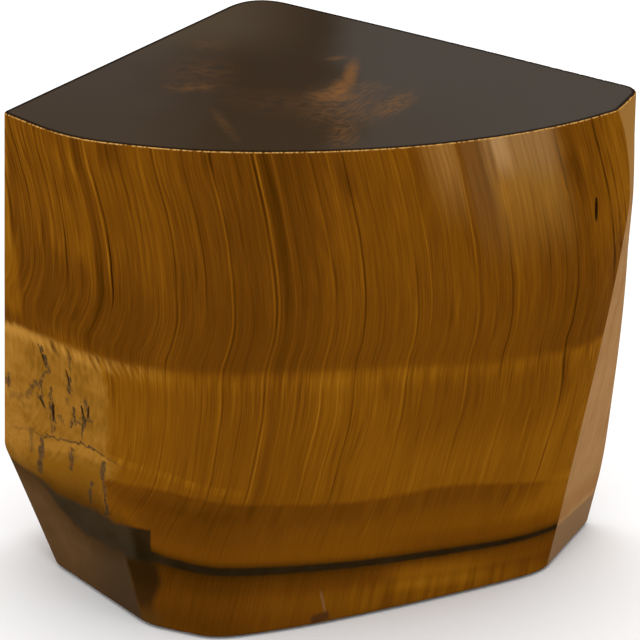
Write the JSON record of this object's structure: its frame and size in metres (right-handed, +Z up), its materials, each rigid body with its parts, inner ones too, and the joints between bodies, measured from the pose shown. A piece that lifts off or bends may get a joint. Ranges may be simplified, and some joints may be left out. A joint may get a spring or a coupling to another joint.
{
  "type": "polished tiger's eye stone block",
  "caption": "Freeform block of tiger's eye stone with a flat rounded-sector top, a curved polished front of golden-brown upright fibres and a flat base to stand on.",
  "frame": {"origin": "middle of the block's bounding box, on the flat underside it stands on", "axes": "+X along the width, left to right as seen from the curved front; +Y from the curved front to the blunt back corner; +Z up, from the flat base to the flat top"},
  "size_m": [0.0646, 0.0422, 0.0527],
  "materials": {
    "tigers_eye": "polished golden-brown chatoyant fibres with dark bands and a black seam low down; the flat top is dark end grain"
  },
  "bodies": {
    "root": {"tigers_eye_slab": "tigers_eye"}
  },
  "joints": []
}
